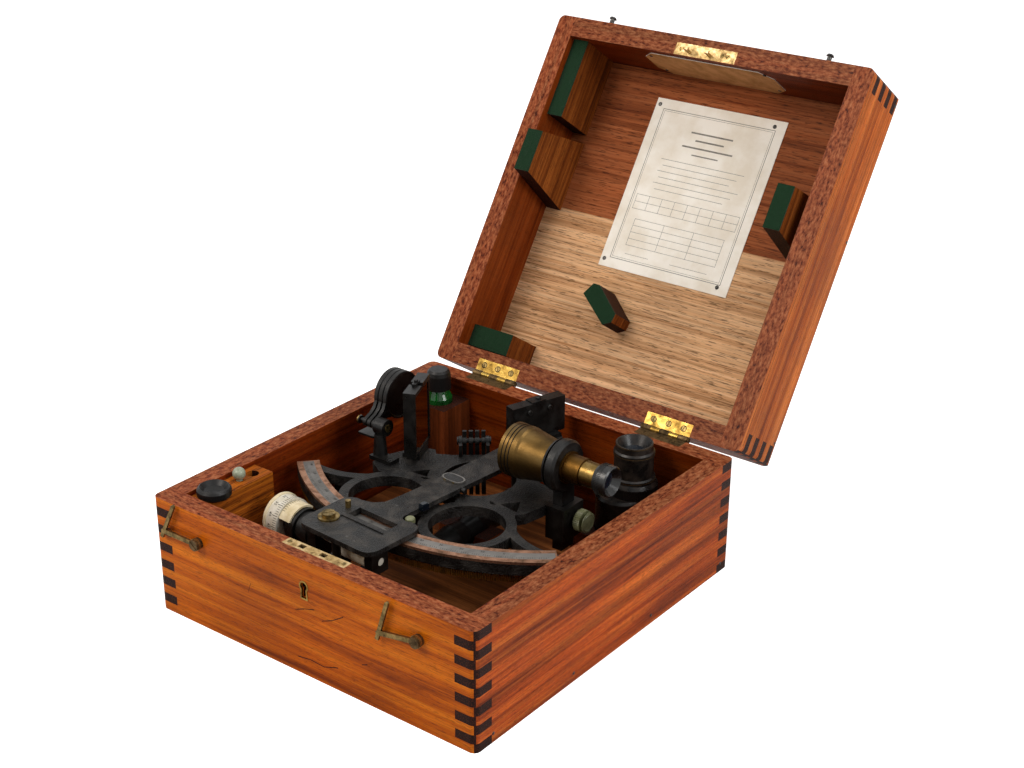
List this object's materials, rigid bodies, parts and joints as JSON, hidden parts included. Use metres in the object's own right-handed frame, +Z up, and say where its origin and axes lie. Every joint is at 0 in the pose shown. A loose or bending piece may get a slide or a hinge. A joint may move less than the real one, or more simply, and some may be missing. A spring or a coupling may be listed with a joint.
{
  "type": "sextant in a fitted box",
  "caption": "Finger-jointed mahogany case with a hinged lid, hooks and a lock, fitted blocks, a micrometer sextant with telescope and shades, and its accessories.",
  "frame": {"origin": "centre of the case's underside", "axes": "+X to the right seen from the front, +Y from the front wall to the hinges, +Z up; stored with the lid open"},
  "size_m": [0.28, 0.5106, 0.3382],
  "materials": {
    "mahogany": "worn varnish",
    "dark_wood": "dull",
    "veneer": "open grain, matt",
    "aged_brass": "aged",
    "bright_brass": "brushed",
    "black_crackle": "crackle",
    "copper": "tarnished copper",
    "black_plastic": "satin",
    "ivory": "satin",
    "green_plastic": "satin",
    "baize": "napped",
    "paper": "matt",
    "mirror": "silvered glass",
    "shade_glass": "dark tint",
    "green_glass": "clear green"
  },
  "bodies": {
    "base": {"base_front": "mahogany", "base_back": "mahogany", "base_left": "mahogany", "base_right": "mahogany", "base_floor": "dark_wood", "lock_case": "aged_brass", "escutcheon": "bright_brass", "base_hinge_leaves": "aged_brass", "hinge_pins": "aged_brass", "base_screws": "aged_brass", "pocket_block": "mahogany", "bottle_block": "mahogany", "monocular_socket": "mahogany", "rest_blocks": "dark_wood"},
    "lid": {"lid_front": "mahogany", "lid_back": "mahogany", "lid_left": "mahogany", "lid_right": "mahogany", "lid_panel": "veneer", "lid_hinge_leaves": "bright_brass", "lid_screws": "aged_brass", "catch_plate": "aged_brass", "hook_studs": "aged_brass", "pad_blocks": "mahogany", "baize_pads": "baize", "lid_papers": "paper"},
    "left_hook": {"hook_left": "aged_brass"},
    "right_hook": {"hook_right": "aged_brass"},
    "bolt": {"lock_bolt": "bright_brass"},
    "sextant": {"sextant_frame": "black_crackle", "arc_scale": "copper", "rack_arc": "aged_brass", "handle_grip": "black_plastic", "frame_legs": "black_crackle", "frame_brackets": "black_crackle", "horizon_mirror_frame": "black_crackle", "horizon_mirror": "mirror"},
    "arm": {"index_arm": "black_crackle", "index_mirror_frame": "black_crackle", "index_mirror": "mirror", "worm_box": "black_crackle", "arm_fittings": "aged_brass"},
    "drum": {"micrometer_drum": "ivory"},
    "lever": {"release_lever": "black_crackle"},
    "index_shade_1_body": {"index_shade_1": "shade_glass"},
    "index_shade_2_body": {"index_shade_2": "shade_glass"},
    "index_shade_3_body": {"index_shade_3": "shade_glass"},
    "index_shade_4_body": {"index_shade_4": "shade_glass"},
    "horizon_shade_1_body": {"horizon_shade_1": "shade_glass"},
    "horizon_shade_2_body": {"horizon_shade_2": "shade_glass"},
    "horizon_shade_3_body": {"horizon_shade_3": "shade_glass"},
    "rising": {"rising_piece": "black_crackle", "telescope_tube": "aged_brass"},
    "knob": {"rising_knob": "bright_brass"},
    "eyepiece": {"telescope_eyepiece": "aged_brass"},
    "monocular_body": {"monocular": "black_crackle"},
    "bottle": {"oil_bottle": "green_glass"},
    "cap": {"bottle_cap": "black_plastic"},
    "spare": {"spare_eyepiece": "black_crackle"},
    "key": {"adjusting_key": "green_plastic"}
  },
  "joints": [
    {"name": "lid_hinge", "type": "hinge", "parent": "base", "child": "lid", "pos_m": [0, 0.1492, 0.0875], "axis": [-1, 0, 0], "range_deg": [-123.5, 0]},
    {"name": "hook_left_swing", "type": "hinge", "parent": "base", "child": "left_hook", "pos_m": [-0.0965, -0.1486, 0.066], "axis": [0, 1, 0], "range_deg": [-80, 90]},
    {"name": "hook_right_swing", "type": "hinge", "parent": "base", "child": "right_hook", "pos_m": [0.0965, -0.1486, 0.066], "axis": [0, 1, 0], "range_deg": [-70, 99.6]},
    {"name": "lock_bolt_slide", "type": "slide", "parent": "base", "child": "bolt", "axis": [1, 0, 0], "range_m": [-0.0022, 0]},
    {"name": "sextant_lift", "type": "slide", "parent": "base", "child": "sextant", "axis": [0, 0, 1], "range_m": [0, 0.12]},
    {"name": "arm_swing", "type": "hinge", "parent": "sextant", "child": "arm", "pos_m": [0, 0.0977, 0.078], "axis": [0, 0, 1], "range_deg": [-3.5, 28]},
    {"name": "drum_spin", "type": "hinge", "parent": "arm", "child": "drum", "pos_m": [-0.08129, -0.07955, 0.062], "axis": [0.998, -0.0628, 0], "continuous": true},
    {"name": "release_squeeze", "type": "hinge", "parent": "arm", "child": "lever", "pos_m": [-0.01636, -0.09866, 0.048], "axis": [0, 0, 1], "range_deg": [0, 8], "stiffness_Nm_per_rad": 0.2, "springref_deg": -5.73},
    {"name": "index_shade_1_swing", "type": "hinge", "parent": "sextant", "child": "index_shade_1_body", "pos_m": [-0.0295, 0.0624, 0.082], "axis": [0.766, 0.6428, 0], "range_deg": [0, 180]},
    {"name": "index_shade_2_swing", "type": "hinge", "parent": "sextant", "child": "index_shade_2_body", "pos_m": [-0.0295, 0.0624, 0.082], "axis": [0.766, 0.6428, 0], "range_deg": [0, 180]},
    {"name": "index_shade_3_swing", "type": "hinge", "parent": "sextant", "child": "index_shade_3_body", "pos_m": [-0.0295, 0.0624, 0.082], "axis": [0.766, 0.6428, 0], "range_deg": [0, 180]},
    {"name": "index_shade_4_swing", "type": "hinge", "parent": "sextant", "child": "index_shade_4_body", "pos_m": [-0.0295, 0.0624, 0.082], "axis": [0.766, 0.6428, 0], "range_deg": [0, 180]},
    {"name": "horizon_shade_1_swing", "type": "hinge", "parent": "sextant", "child": "horizon_shade_1_body", "pos_m": [-0.087, 0.0185, 0.095], "axis": [1, 0, 0], "range_deg": [0, 110]},
    {"name": "horizon_shade_2_swing", "type": "hinge", "parent": "sextant", "child": "horizon_shade_2_body", "pos_m": [-0.087, 0.0185, 0.095], "axis": [1, 0, 0], "range_deg": [0, 110]},
    {"name": "horizon_shade_3_swing", "type": "hinge", "parent": "sextant", "child": "horizon_shade_3_body", "pos_m": [-0.087, 0.0185, 0.095], "axis": [1, 0, 0], "range_deg": [0, 110]},
    {"name": "rising_slide", "type": "slide", "parent": "sextant", "child": "rising", "axis": [0, 0, 1], "range_m": [-0.005, 0.005]},
    {"name": "rising_knob_spin", "type": "hinge", "parent": "sextant", "child": "knob", "pos_m": [0.075, 0.0435, 0.0615], "axis": [1, 0, 0], "continuous": true},
    {"name": "eyepiece_focus", "type": "slide", "parent": "rising", "child": "eyepiece", "axis": [1, 0, 0], "range_m": [-0.01, 0.012]},
    {"name": "monocular_lift", "type": "slide", "parent": "base", "child": "monocular_body", "axis": [0, 0, 1], "range_m": [0, 0.12]},
    {"name": "bottle_lift", "type": "slide", "parent": "base", "child": "bottle", "axis": [0, 0, 1], "range_m": [0, 0.075]},
    {"name": "bottle_cap_spin", "type": "hinge", "parent": "bottle", "child": "cap", "pos_m": [-0.1065, 0.1145, 0.09], "axis": [0, 0, 1], "continuous": true},
    {"name": "spare_eyepiece_lift", "type": "slide", "parent": "base", "child": "spare", "axis": [0, 0, 1], "range_m": [0, 0.045]},
    {"name": "adjusting_key_lift", "type": "slide", "parent": "base", "child": "key", "axis": [0, 0, 1], "range_m": [0, 0.045]}
  ]
}
